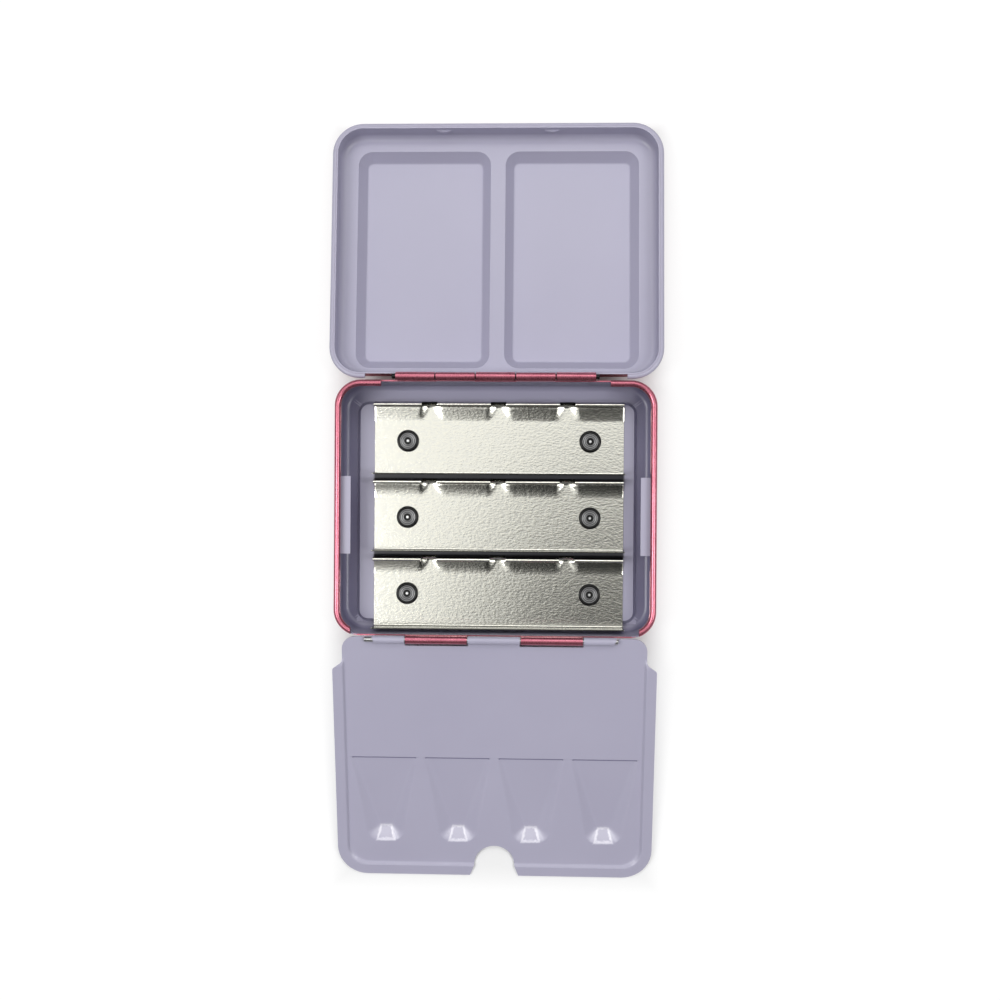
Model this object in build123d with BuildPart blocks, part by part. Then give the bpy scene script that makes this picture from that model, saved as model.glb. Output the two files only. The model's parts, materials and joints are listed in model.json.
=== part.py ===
from build123d import *
import os
from math import asin, atan2, cos, degrees, hypot, sin, tan

# Empty watercolour box: a pressed tin tray with three riveted pan rails, a lid hinged at its
# back edge and a mixing flap hinged at its front edge. All sizes are in millimetres.
# The origin is at the middle of the tray's outline, on the table. +X is right, +Y is towards
# the lid and +Z is up. The box stands open, with lid and flap folded out onto the table.

# Sheets and fits
sheet = 0.35
rail_sheet = 0.30
pin_clearance = 0.05
closing_gap = 0.10
seat_gap = 0.45

# Tray
tray_width = 83.4
tray_depth = 66.4
tray_height = 14.0
tray_corner_radius = 6.8
tray_bottom_radius = 2.0
tray_bead_diameter = 1.7
low_wall_height = 12.2
back_gap_half_width = 29.65
front_gap_half_width = 37.3

# Raised floor panel of the tray, which leaves room for the set ends of the rivets
floor_rise = 1.6
floor_slope_width = 0.9
floor_margin_side = 4.1
floor_margin_back = 4.6
floor_margin_front = 2.4
floor_corner_radius = 3.2

# Two tongues that stand in from the tray's side walls
lug_length = 20.2
lug_reach = 4.0
lug_drop = 2.3
lug_shift = -1.9

# Hinges
pin_radius = 0.65
tray_setback = 0.8
lid_setback = 0.9
back_knuckle_width = 10.05
back_knuckle_gap = 0.32
back_knuckle_count = 5
flap_middle_knuckle = 13.4
flap_end_knuckle = 8.5
tray_front_knuckle = 15.9
front_knuckle_gap = 0.25
back_pin_overhang = 1.0
front_pin_overhang_left = 2.0
front_pin_overhang_right = 0.4
pin_chamfer = 0.15

# Lid
lid_overhang = 0.65
lid_setdown = 1.0
lid_wall_depth = 5.6
lid_corner_radius = 7.0
lid_bottom_radius = 1.95
lid_bead_diameter = 1.45
lid_bead_run = 8.35
panel_depth = 3.0
panel_bevel = 2.2
panel_divider = 3.9
panel_margin_side = 4.6
panel_margin_back = 2.1
panel_margin_front = 4.2
panel_corner_radius = 3.8
panel_edge_radius = 0.7
dimple_spacing = 28.4
dimple_radius = 4.5
dimple_height = 0.55
dimple_width = 0.9
dimple_drop = 1.3

# Mixing flap
flap_overhang = 0.4
flange_width = 2.9
flap_neck_length = 8.2
flap_flare_length = 1.8
flap_back_reach = 0.5
flap_front_radius = 8.0
flap_back_radius = 3.5
dish_front_radius = 5.4
slot_length = 1.85
well_count = 4
well_margin = 1.475
well_gap = 2.35
well_front_margin = 10.1
well_length = 20.6
well_end_length = 3.5
well_throat_width = 8.8
well_throat_floor = 3.0
well_depth = 2.2
well_lip = 0.15
notch_radius = 5.4
notch_inset = 2.9
notch_mouth_width = 13.3
knuckle_slant = 0.9

# Pan rails
rail_count = 3
rail_end_margin = 4.25
rail_front_margin = 1.2
rail_row_gap = 0.75
rail_shift = 0.6
rail_front_reach = 9.0
rail_wall_height = 6.0
lip_height = 5.7
lip_lean = 0.85
lip_roll_radius = 0.5
lip_notch_width = 4.05
end_lip_width = 12.725
lip_notch_floor = 1.2
lip_inset = 0.4

# Rivets
rivet_end_distance = 8.95
rivet_head_radius = 2.95
rivet_head_height = 0.9
rivet_edge_height = 0.3
rivet_ring_radius = 2.1
rivet_ring_drop = 0.12
rivet_shank_radius = 1.5
rivet_bore_radius = 0.9
rivet_tail_radius = 2.2
rivet_tail_height = 1.1
rivet_hole_clearance = 0.03
stem_clearance = 0.02
stem_drop = 0.35
stem_tip_radius = 0.34
stem_tip_height = 0.2
stem_head_radius = 1.3
stem_head_height = 0.3

# Sizes and places that follow from the ones above
lid_width = tray_width + 2 * lid_overhang
lid_depth = tray_depth - lid_setdown
flap_width = tray_width + 2 * flap_overhang
knuckle_radius = pin_radius + pin_clearance + sheet
bore_radius = pin_radius + pin_clearance
pin_height = tray_height + closing_gap
pin_reach = tray_depth / 2 + tray_setback
pin_span = 2 * pin_reach
lid_rim_drop = knuckle_radius + 1.5 * closing_gap
flap_length = pin_span - knuckle_radius - seat_gap
dish_front = flap_length - flange_width
well_end = dish_front - well_front_margin
well_start = well_end - well_length
lid_full_depth = lid_rim_drop + lid_wall_depth + panel_depth + sheet
floor_width = tray_width - 2 * floor_margin_side
floor_depth = tray_depth - floor_margin_back - floor_margin_front
floor_middle = (floor_margin_front - floor_margin_back) / 2
rail_length = floor_width - 2 * rail_end_margin
rail_span = tray_depth - floor_margin_back - rail_front_margin
rail_pitch = (rail_span + rail_row_gap) / rail_count
rail_back_reach = rail_pitch - rail_row_gap - rail_front_reach
rail_line_front = rail_front_margin + rail_front_reach - tray_depth / 2
rivet_spacing = rail_length - 2 * rivet_end_distance
lip_notch_pitch = (rail_length - lip_notch_width) / 2 - lip_inset - end_lip_width
panel_taper = degrees(atan2(panel_bevel, panel_depth))
floor_taper = degrees(atan2(floor_slope_width, floor_rise))


def skin_offset(run, rise):
    """Plan distance between the two faces of a sloped sheet, at the levels of its flats."""
    slope = atan2(run, rise)
    return sheet / cos(slope) - sheet * tan(slope)


def resting_tilt(reach, drop):
    """Angle below level at which a hinged point meets the table."""
    return asin(pin_height / hypot(reach, drop)) - atan2(drop, reach)


# The lid rests on the far edge of its panels, and the flap on its wells or its front edge
panel_far_edge = lid_setback + lid_depth - sheet - panel_margin_front - panel_bevel
lid_tilt = resting_tilt(panel_far_edge + sheet, lid_full_depth)
well_low = knuckle_radius + well_depth
flap_tilt = min(
    resting_tilt(well_end + sheet, well_low),
    resting_tilt(flap_length, sheet),
)

back_hinge = Plane(origin=(0, pin_reach, pin_height))
front_hinge = Plane(origin=(0, -pin_reach, pin_height))
lid_plane = Plane(
    origin=back_hinge.origin,
    x_dir=(1, 0, 0),
    z_dir=(0, sin(lid_tilt), cos(lid_tilt)),
)
flap_plane = Plane(
    origin=front_hinge.origin,
    x_dir=(1, 0, 0),
    z_dir=(0, -sin(flap_tilt), cos(flap_tilt)),
)
lid_up = Axis(lid_plane.origin, lid_plane.z_dir)


def hinge_section(hinge, x):
    """Plane across a hinge at x, with its own x along the leaf and its own y off the leaf."""
    return Plane(
        origin=hinge.from_local_coords(Vector(x, 0, 0)),
        x_dir=hinge.y_dir,
        z_dir=hinge.x_dir,
    )


def rolled_knuckle(side, setback, foot):
    """Section of a leaf that runs out under the pin and curls round it.

    side is +1 or -1 for the side of the pin where the wall stands, and foot is how far
    the wall's tab reaches below the pin.
    """
    wall_far = side * (setback + sheet)
    wall_mid = side * (setback + sheet / 2)
    leaf_top = -bore_radius
    Circle(knuckle_radius)
    with Locations((wall_far / 2, leaf_top - sheet / 2)):
        Rectangle(abs(wall_far), sheet)
    with Locations((wall_mid, (leaf_top - foot) / 2)):
        Rectangle(sheet, foot + leaf_top)
    Circle(bore_radius, mode=Mode.SUBTRACT)


def knuckle_spans(first, count, width, gap):
    """Start and end of every other knuckle of a row centred on x = 0."""
    pitch = width + gap
    row_start = -(count * pitch - gap) / 2
    return [
        (row_start + i * pitch, row_start + i * pitch + width)
        for i in range(first, count, 2)
    ]


lid_knuckles = knuckle_spans(0, back_knuckle_count, back_knuckle_width, back_knuckle_gap)
tray_back_knuckles = knuckle_spans(1, back_knuckle_count, back_knuckle_width, back_knuckle_gap)
tray_knuckle_start = flap_middle_knuckle / 2 + front_knuckle_gap
tray_knuckle_end = tray_knuckle_start + tray_front_knuckle
flap_end_start = tray_knuckle_end + front_knuckle_gap
flap_end_end = flap_end_start + flap_end_knuckle
tray_front_knuckles = [
    (-tray_knuckle_end, -tray_knuckle_start),
    (tray_knuckle_start, tray_knuckle_end),
]
flap_knuckles = [
    (-flap_end_end, -flap_end_start),
    (-flap_middle_knuckle / 2, flap_middle_knuckle / 2),
    (flap_end_start, flap_end_end),
]
rail_lines = [rail_line_front + i * rail_pitch for i in reversed(range(rail_count))]
rivet_places = [
    (rail_shift + side * rivet_spacing / 2, line)
    for line in rail_lines
    for side in (-1, 1)
]

os.makedirs("parts", exist_ok=True)

# Tray: inside space, with the raised floor panel left out of it
floor_skin = skin_offset(floor_slope_width, floor_rise)

with BuildPart() as tray_inside:
    with BuildSketch(Plane.XY.offset(sheet)):
        RectangleRounded(
            tray_width - 2 * sheet, tray_depth - 2 * sheet, tray_corner_radius - sheet
        )
    extrude(amount=tray_height)
    inside_floor = tray_inside.faces().sort_by(Axis.Z)[0]
    fillet(inside_floor.edges(), tray_bottom_radius - sheet)
    with BuildSketch(Plane.XY.offset(sheet)):
        with Locations((0, floor_middle)):
            RectangleRounded(floor_width, floor_depth, floor_corner_radius)
    extrude(amount=floor_rise, taper=floor_taper, mode=Mode.SUBTRACT)

# Tray: shell, rim bead, low walls at the hinges, knuckles, side lugs and rivet holes
bead_radius = tray_bead_diameter / 2
bead_x = tray_width / 2 - bead_radius
bead_y = tray_depth / 2 - bead_radius
bead_height = tray_height - bead_radius
bead_corner = tray_corner_radius - bead_radius

with BuildPart() as tray:
    with BuildSketch():
        RectangleRounded(tray_width, tray_depth, tray_corner_radius)
    extrude(amount=bead_height)
    outside_floor = tray.faces().sort_by(Axis.Z)[0]
    fillet(outside_floor.edges(), tray_bottom_radius)
    add(tray_inside.part, mode=Mode.SUBTRACT)
    with BuildSketch():
        with Locations((0, floor_middle)):
            RectangleRounded(
                floor_width - 2 * floor_skin,
                floor_depth - 2 * floor_skin,
                floor_corner_radius - floor_skin,
            )
    extrude(amount=floor_rise, taper=floor_taper, mode=Mode.SUBTRACT)

    with BuildLine(Plane.XY.offset(bead_height)) as tray_rim:
        FilletPolyline(
            (-back_gap_half_width, bead_y),
            (-bead_x, bead_y),
            (-bead_x, -bead_y),
            (bead_x, -bead_y),
            (bead_x, bead_y),
            (back_gap_half_width, bead_y),
            radius=bead_corner,
        )
    with BuildSketch(Plane(origin=tray_rim.line @ 0, z_dir=tray_rim.line % 0)):
        Circle(bead_radius)
    sweep(path=tray_rim.line)

    with BuildSketch(Plane.XY.offset(low_wall_height)):
        with Locations((0, tray_depth / 2)):
            Rectangle(2 * back_gap_half_width, 3 * tray_bead_diameter)
        with Locations((0, -tray_depth / 2)):
            Rectangle(2 * front_gap_half_width, 3 * tray_bead_diameter)
    extrude(amount=tray_height, mode=Mode.SUBTRACT)

    tab_foot = pin_height - low_wall_height + sheet
    for start, end in tray_back_knuckles:
        with BuildSketch(hinge_section(back_hinge, start)):
            rolled_knuckle(-1, tray_setback, tab_foot)
        extrude(amount=end - start)
    for start, end in tray_front_knuckles:
        with BuildSketch(hinge_section(front_hinge, start)):
            rolled_knuckle(1, tray_setback, tab_foot)
        extrude(amount=end - start)

    with BuildSketch(Plane.XY.offset(tray_height - lug_drop - sheet)):
        for side in (-1, 1):
            with Locations((side * (tray_width - lug_reach - sheet) / 2, lug_shift)):
                Rectangle(lug_reach - sheet, lug_length)
    extrude(amount=sheet)

    with BuildSketch():
        with Locations(*rivet_places):
            Circle(rivet_shank_radius + rivet_hole_clearance)
    extrude(amount=floor_rise + 2 * sheet, mode=Mode.SUBTRACT)
tray.part.label = "tray"
export_step(tray.part, "parts/tray.step")

# Lid: inside space, with the two panels that stand out of its top
lid_rim = lid_plane.offset(-lid_rim_drop)
lid_ledge = lid_rim.offset(-lid_wall_depth)
lid_middle = lid_setback + lid_depth / 2
panel_skin = skin_offset(panel_bevel, panel_depth)
panel_width = lid_width / 2 - panel_margin_side - sheet - panel_divider / 2
panel_length = lid_depth - 2 * sheet - panel_margin_back - panel_margin_front
panel_x = (panel_divider + panel_width) / 2
panel_y = lid_setback + sheet + panel_margin_back + panel_length / 2

with BuildPart() as lid_inside:
    with BuildSketch(lid_rim.offset(lid_bead_diameter)):
        with Locations((0, lid_middle)):
            RectangleRounded(
                lid_width - 2 * sheet, lid_depth - 2 * sheet, lid_corner_radius - sheet
            )
    extrude(amount=-lid_wall_depth - lid_bead_diameter)
    ledge_face = lid_inside.faces().sort_by(lid_up)[0]
    fillet(ledge_face.edges(), lid_bottom_radius - sheet)
    with BuildSketch(lid_ledge):
        with Locations((-panel_x, panel_y), (panel_x, panel_y)):
            RectangleRounded(panel_width, panel_length, panel_corner_radius)
    extrude(amount=-panel_depth, taper=panel_taper)
    panel_floors = lid_inside.faces().sort_by(lid_up)[0:2]
    fillet(panel_floors.edges(), panel_edge_radius)

# Lid: shell, closure dimples, outward rim bead and knuckles
lid_bead_radius = lid_bead_diameter / 2
lid_bead_x = lid_width / 2 - sheet + lid_bead_radius
lid_bead_end = lid_width / 2 - lid_bead_run
lid_bead_back = lid_setback + sheet - lid_bead_radius
lid_bead_front = lid_setback + lid_depth - sheet + lid_bead_radius
lid_bead_corner = lid_corner_radius - sheet + lid_bead_radius
dimple_centre = lid_setback + lid_depth - sheet + dimple_radius - dimple_height

with BuildPart() as lid:
    with BuildSketch(lid_rim):
        with Locations((0, lid_middle)):
            RectangleRounded(lid_width, lid_depth, lid_corner_radius)
    extrude(amount=-lid_wall_depth - sheet)
    lid_top = lid.faces().sort_by(lid_up)[0]
    fillet(lid_top.edges(), lid_bottom_radius)
    with BuildSketch(lid_ledge.offset(-sheet)):
        with Locations((-panel_x, panel_y), (panel_x, panel_y)):
            RectangleRounded(
                panel_width + 2 * panel_skin,
                panel_length + 2 * panel_skin,
                panel_corner_radius + panel_skin,
            )
    extrude(amount=-panel_depth, taper=panel_taper)
    panel_tops = lid.faces().sort_by(lid_up)[0:2]
    fillet(panel_tops.edges(), panel_edge_radius + sheet)
    add(lid_inside.part, mode=Mode.SUBTRACT)

    with BuildSketch(lid_rim.offset(-dimple_drop)):
        with Locations((-dimple_spacing / 2, dimple_centre), (dimple_spacing / 2, dimple_centre)):
            Circle(dimple_radius)
        with Locations((0, lid_setback + lid_depth - sheet / 2 + dimple_radius)):
            Rectangle(lid_width, 2 * dimple_radius, mode=Mode.SUBTRACT)
    extrude(amount=-dimple_width)

    with BuildLine(lid_rim.offset(-lid_bead_radius)) as lid_edge:
        FilletPolyline(
            (-lid_bead_end, lid_bead_back),
            (-lid_bead_x, lid_bead_back),
            (-lid_bead_x, lid_bead_front),
            (lid_bead_x, lid_bead_front),
            (lid_bead_x, lid_bead_back),
            (lid_bead_end, lid_bead_back),
            radius=lid_bead_corner,
        )
    with BuildSketch(Plane(origin=lid_edge.line @ 0, z_dir=lid_edge.line % 0)):
        Circle(lid_bead_radius)
    sweep(path=lid_edge.line)

    for start, end in lid_knuckles:
        with BuildSketch(hinge_section(lid_plane, start)):
            rolled_knuckle(1, lid_setback, lid_rim_drop + lid_bead_diameter)
        extrude(amount=end - start)
lid.part.label = "lid"
export_step(lid.part, "parts/lid.step")

# Mixing flap: its plane's own y runs back to the tray, so places along the flap are negative
dish_half = flap_width / 2 - flange_width
step_half = dish_half + sheet
step_front = dish_front + sheet
flare_start = flap_neck_length - flap_flare_length
flap_underside = flap_plane.offset(-knuckle_radius)
flap_floor = flap_plane.offset(-bore_radius)
half_width = flap_width / 2
well_width = (2 * (dish_half - well_margin) + well_gap) / well_count - well_gap
well_pitch = well_width + well_gap
well_places = [
    (i - (well_count - 1) / 2) * well_pitch for i in range(well_count)
]


def well_section(x, along, top_half, floor_half, skin, depth):
    """One section across a mixing well at a distance along the flap.

    A skin of zero gives the open hollow, and a skin of one sheet the metal round it.
    """
    rim = -skin
    top = sheet - 1.5 * skin
    low = -depth - skin
    across = Plane(
        origin=flap_plane.from_local_coords(Vector(x, -along, -bore_radius)),
        x_dir=flap_plane.x_dir,
        z_dir=-flap_plane.y_dir,
    )
    with BuildSketch(across) as section:
        with BuildLine():
            Polyline(
                (-top_half, top),
                (-top_half, rim),
                (-floor_half, low),
                (floor_half, low),
                (top_half, rim),
                (top_half, top),
                close=True,
            )
        make_face()
    return section.sketch


def well_block(x, skin):
    """A well as a solid that narrows and deepens, then climbs its short end wall."""
    half = well_width / 2 + skin
    throat = well_throat_width / 2 + skin
    bottom = well_throat_floor / 2 + skin
    last = well_end + well_end_length + skin
    start_section = well_section(x, well_start - skin, half, half - well_lip, skin, well_lip)
    throat_section = well_section(x, well_end, throat, bottom, skin, well_depth)
    end_section = well_section(x, last, bottom + well_lip, bottom, skin, well_lip)
    with BuildPart() as block:
        add(start_section)
        add(throat_section)
        add(end_section)
        loft(ruled=True)
    return block.part


with BuildPart() as mixing_flap:
    with BuildSketch(flap_underside):
        with BuildLine():
            FilletPolyline(
                (-step_half, flap_back_reach),
                (step_half, flap_back_reach),
                (step_half, -step_front),
                (-step_half, -step_front),
                radius=(
                    flap_back_radius,
                    flap_back_radius,
                    dish_front_radius + sheet,
                    dish_front_radius + sheet,
                ),
                close=True,
            )
        make_face()
    extrude(amount=sheet)
    with BuildSketch(flap_underside):
        with BuildLine():
            FilletPolyline(
                (-step_half, -flare_start),
                (step_half, -flare_start),
                (step_half, -step_front),
                (-step_half, -step_front),
                radius=(0, 0, dish_front_radius + sheet, dish_front_radius + sheet),
                close=True,
            )
        make_face()
    extrude(amount=knuckle_radius)
    with BuildSketch(flap_plane.offset(-sheet)):
        with BuildLine():
            FilletPolyline(
                (-dish_half, -flare_start),
                (dish_half, -flare_start),
                (half_width, -flap_neck_length),
                (half_width, -flap_length),
                (-half_width, -flap_length),
                (-half_width, -flap_neck_length),
                radius=(0, 0, sheet, flap_front_radius, flap_front_radius, sheet),
                close=True,
            )
        make_face()
    extrude(amount=sheet)
    with BuildSketch(flap_floor):
        with BuildLine():
            FilletPolyline(
                (-dish_half, knuckle_radius),
                (dish_half, knuckle_radius),
                (dish_half, -dish_front),
                (-dish_half, -dish_front),
                radius=(0, 0, dish_front_radius, dish_front_radius),
                close=True,
            )
        make_face()
    extrude(amount=knuckle_radius, mode=Mode.SUBTRACT)

    for well_x in well_places:
        add(well_block(well_x, sheet))
    for well_x in well_places:
        add(well_block(well_x, 0), mode=Mode.SUBTRACT)

    slot_width = tray_front_knuckle + 2 * front_knuckle_gap
    slot_x = (tray_knuckle_start + tray_knuckle_end) / 2
    with BuildSketch(flap_plane.offset(knuckle_radius)):
        with Locations((-slot_x, 0), (slot_x, 0)):
            Rectangle(slot_width, 2 * slot_length)
        with BuildLine():
            Polyline(
                (-notch_radius, notch_inset - flap_length),
                (notch_radius, notch_inset - flap_length),
                (notch_mouth_width / 2, -flap_length - sheet),
                (-notch_mouth_width / 2, -flap_length - sheet),
                close=True,
            )
        make_face()
        with Locations((0, notch_inset - flap_length)):
            Circle(notch_radius)
    extrude(amount=-2 * well_low, mode=Mode.SUBTRACT)

    for start, end in flap_knuckles:
        with BuildSketch(hinge_section(flap_plane, start)):
            Circle(knuckle_radius)
            Circle(bore_radius, mode=Mode.SUBTRACT)
        extrude(amount=end - start)
    with BuildSketch(flap_floor):
        for side in (-1, 1):
            with BuildLine():
                Polyline(
                    (side * (flap_end_end - knuckle_slant), -knuckle_radius),
                    (side * flap_end_end, knuckle_radius),
                    (side * (flap_end_end + sheet), -knuckle_radius),
                    close=True,
                )
            make_face()
    extrude(amount=2 * knuckle_radius, mode=Mode.SUBTRACT)
mixing_flap.part.label = "mixing_flap"
export_step(mixing_flap.part, "parts/mixing_flap.step")


def hinge_pin(hinge, start, end):
    """A straight wire along a hinge axis."""
    with BuildPart() as pin:
        with BuildSketch(hinge_section(hinge, start)):
            Circle(pin_radius)
        extrude(amount=end - start)
        chamfer(pin.edges().filter_by(GeomType.CIRCLE), pin_chamfer)
    return pin.part


# Hinge pins
back_row_end = lid_knuckles[-1][1]
lid_hinge_pin = hinge_pin(
    back_hinge, -back_row_end - back_pin_overhang, back_row_end + back_pin_overhang
)
lid_hinge_pin.label = "lid_hinge_pin"
export_step(lid_hinge_pin, "parts/lid_hinge_pin.step")

flap_hinge_pin = hinge_pin(
    front_hinge,
    -flap_end_end - front_pin_overhang_left,
    flap_end_end + front_pin_overhang_right,
)
flap_hinge_pin.label = "flap_hinge_pin"
export_step(flap_hinge_pin, "parts/flap_hinge_pin.step")

# Pan rails: a floor strip with a plain front wall and a row of spring lips behind
rail_seat = floor_rise + sheet
rail_top = rail_seat + rail_sheet
rail_start = rail_shift - rail_length / 2


def pan_rail(line):
    """One rail, bent up from a strip, on the rivet line at y = line."""
    end_plane = Plane(
        origin=(rail_start, line, rail_seat),
        x_dir=(0, 1, 0),
        z_dir=(1, 0, 0),
    )
    lip_foot = rail_back_reach
    lip_head = rail_back_reach - lip_lean
    with BuildPart() as rail:
        with BuildSketch(end_plane):
            with BuildLine():
                Polyline(
                    (-rail_front_reach, 0),
                    (lip_foot, 0),
                    (lip_head, lip_height),
                    (lip_head - rail_sheet, lip_height),
                    (lip_foot - rail_sheet, rail_sheet),
                    (rail_sheet - rail_front_reach, rail_sheet),
                    (rail_sheet - rail_front_reach, rail_wall_height),
                    (-rail_front_reach, rail_wall_height),
                    close=True,
                )
            make_face()
            with Locations((lip_head - lip_roll_radius, lip_height)):
                Circle(lip_roll_radius)
        extrude(amount=rail_length)
        with BuildSketch(Plane.XY.offset(rail_seat + lip_notch_floor)):
            cut_y = line + lip_head - lip_roll_radius
            cut_depth = 2 * (lip_lean + 2 * lip_roll_radius)
            for place in (-1, 0, 1):
                with Locations((rail_shift + place * lip_notch_pitch, cut_y)):
                    Rectangle(lip_notch_width, cut_depth)
            for side in (-1, 1):
                with Locations((rail_shift + side * rail_length / 2, cut_y)):
                    Rectangle(2 * lip_inset, cut_depth)
        extrude(amount=rail_wall_height, mode=Mode.SUBTRACT)
        with BuildSketch(Plane.XY.offset(rail_seat)):
            for side in (-1, 1):
                with Locations((rail_shift + side * rivet_spacing / 2, line)):
                    Circle(rivet_shank_radius + rivet_hole_clearance)
        extrude(amount=rail_sheet, mode=Mode.SUBTRACT)
    return rail.part


for name, line in zip(("rail_back", "rail_middle", "rail_front"), rail_lines):
    rail_part = pan_rail(line)
    rail_part.label = name
    export_step(rail_part, "parts/" + name + ".step")

# Rivets: a sleeve with a domed head above the rail and a set end below the raised floor,
# and the stem that stays in the sleeve's bore
rivet_crown = rail_top + rivet_head_height
tail_top = floor_rise
tail_bottom = floor_rise - rivet_tail_height
stem_top = rivet_crown - stem_drop


def upright_plane(place):
    """Vertical plane through a rivet's axis, with z up the axis as its own y."""
    return Plane(origin=(place[0], place[1], 0), x_dir=(1, 0, 0), z_dir=(0, -1, 0))


def rivet_sleeve(place):
    """Sleeve of a set blind rivet: head, shank and flattened tail round an open bore."""
    ring_top = rivet_crown - rivet_ring_drop
    shoulder = (rivet_head_radius + rivet_ring_radius) / 2
    with BuildPart() as sleeve:
        with BuildSketch(upright_plane(place)):
            with BuildLine():
                crown_side = Polyline(
                    (rivet_head_radius, rail_top + rivet_edge_height),
                    (rivet_head_radius, rail_top),
                    (rivet_shank_radius, rail_top),
                    (rivet_shank_radius, tail_top),
                    (rivet_tail_radius, tail_top),
                    (rivet_tail_radius - sheet, tail_bottom),
                    (rivet_bore_radius, tail_bottom),
                    (rivet_bore_radius, ring_top),
                    (rivet_ring_radius, ring_top),
                )
                ThreePointArc(
                    crown_side @ 1,
                    (shoulder, rivet_crown),
                    crown_side @ 0,
                )
            make_face()
        revolve(axis=Axis((place[0], place[1], 0), (0, 0, 1)))
    return sleeve.part


def rivet_stem(place):
    """Stem left in a set rivet: head under the tail, body in the bore, broken tip on top."""
    body_radius = rivet_bore_radius - stem_clearance
    with BuildPart() as stem:
        with BuildSketch(upright_plane(place)):
            with BuildLine():
                Polyline(
                    (0, tail_bottom - stem_head_height),
                    (stem_head_radius, tail_bottom - stem_head_height),
                    (stem_head_radius, tail_bottom),
                    (body_radius, tail_bottom),
                    (body_radius, stem_top),
                    (stem_tip_radius, stem_top),
                    (stem_tip_radius, stem_top + stem_tip_height),
                    (0, stem_top + stem_tip_height),
                    close=True,
                )
            make_face()
        revolve(axis=Axis((place[0], place[1], 0), (0, 0, 1)))
    return stem.part


rivet_names = [
    row + "_" + side
    for row in ("back", "middle", "front")
    for side in ("left", "right")
]
for name, place in zip(rivet_names, rivet_places):
    sleeve_part = rivet_sleeve(place)
    sleeve_part.label = "rivet_" + name
    export_step(sleeve_part, "parts/rivet_" + name + ".step")
    stem_part = rivet_stem(place)
    stem_part.label = "rivet_stem_" + name
    export_step(stem_part, "parts/rivet_stem_" + name + ".step")

print("lid tilt", round(degrees(lid_tilt), 4), "flap tilt", round(degrees(flap_tilt), 4))
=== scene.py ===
import json
from math import cos, hypot, radians, sin

import bmesh
import bpy
from mathutils import Euler, Matrix, Vector

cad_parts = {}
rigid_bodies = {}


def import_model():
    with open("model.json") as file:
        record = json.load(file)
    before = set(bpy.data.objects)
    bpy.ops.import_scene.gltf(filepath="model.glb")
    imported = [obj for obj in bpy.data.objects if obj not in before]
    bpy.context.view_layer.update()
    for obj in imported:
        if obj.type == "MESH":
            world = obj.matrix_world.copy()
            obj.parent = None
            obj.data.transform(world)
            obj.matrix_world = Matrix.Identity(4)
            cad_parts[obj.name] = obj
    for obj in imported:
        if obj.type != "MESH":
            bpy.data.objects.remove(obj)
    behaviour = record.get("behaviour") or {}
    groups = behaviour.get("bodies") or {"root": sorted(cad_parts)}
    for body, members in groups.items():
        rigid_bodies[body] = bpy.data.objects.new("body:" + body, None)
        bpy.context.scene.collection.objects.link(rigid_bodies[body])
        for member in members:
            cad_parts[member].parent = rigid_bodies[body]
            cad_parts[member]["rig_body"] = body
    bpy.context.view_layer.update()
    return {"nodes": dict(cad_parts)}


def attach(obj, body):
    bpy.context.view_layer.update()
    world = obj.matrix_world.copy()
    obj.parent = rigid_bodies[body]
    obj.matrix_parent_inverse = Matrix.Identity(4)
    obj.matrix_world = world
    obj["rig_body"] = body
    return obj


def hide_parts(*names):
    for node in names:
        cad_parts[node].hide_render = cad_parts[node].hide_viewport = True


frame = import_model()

# An empty watercolour box lies open on a pale table: lid at the back, tray in the middle,
# mixing flap in front. Objects are in metres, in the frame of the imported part. Sizes in this
# file are in millimetres, apart from those of the camera, the lamps, the table and the bumps,
# which are in metres.

MM = 0.001
nodes = frame["nodes"]

# Places that both a finish and a shape use. A rail line runs through its rail's rivets, and
# the gap line lies midway between two rails. Wells and pits are counted from the flap's hinge.
RAIL_LINES = {"back": 17.9, "middle": -2.55, "front": -23.0}
RAIL_MIDDLE, RAIL_HALF_PITCH, RAIL_GAP_LINE = 0.6, 10.225, 8.525
RIVET_X = {"left": -23.8, "right": 25.0}
RIVET_HALF_SPAN = 24.4
FLAP_TILT = radians(11.6972)
FLAP_HINGE = Vector((0, -34.0, 14.1))
WELL_PLACES = (-29.175, -9.725, 9.725, 29.175)
WELL_HALF_PITCH = 9.725
WELL_START, WELL_END, WELL_HALF = 32.9, 53.5, 8.55
PIT_START, PIT_END, PIT_HALF, PIT_SPREAD = 53.4, 56.6, 1.35, 0.27


# Camera, straight above the box, and lamps high above its left, right and back

PIXELS_PER_UNIT = 1097.3
PICTURE_WIDTH = 1000.0
SENSOR = 36.0

camera_data = bpy.data.cameras.new("overhead_camera")
camera_data.sensor_width = SENSOR
camera_data.lens = PIXELS_PER_UNIT * SENSOR / PICTURE_WIDTH
camera = bpy.data.objects.new("overhead_camera", camera_data)
camera.location = (0.010479, 0.003244, 0.2962)
camera.rotation_euler = Euler((radians(-0.195), radians(1.852), radians(0.38)), "XYZ")
bpy.context.scene.collection.objects.link(camera)
bpy.context.scene.camera = camera
bpy.context.scene.view_settings.view_transform = "Standard"


def softbox(name, centre, size, watts):
    """A rectangular lamp at a point, turned towards the middle of the box."""
    data = bpy.data.lights.new(name, "AREA")
    data.shape = "RECTANGLE"
    data.size, data.size_y = size
    data.energy = watts
    lamp = bpy.data.objects.new(name, data)
    lamp.location = centre
    lamp.rotation_euler = (-Vector(centre)).to_track_quat("-Z", "Y").to_euler()
    bpy.context.scene.collection.objects.link(lamp)


softbox("softbox_left", (-0.34, -0.05, 0.60), (0.20, 0.30), 1.45)
softbox("softbox_right", (0.36, -0.05, 0.58), (0.18, 0.26), 0.95)
softbox("softbox_back", (0.02, 0.36, 0.58), (0.34, 0.18), 0.40)


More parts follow.
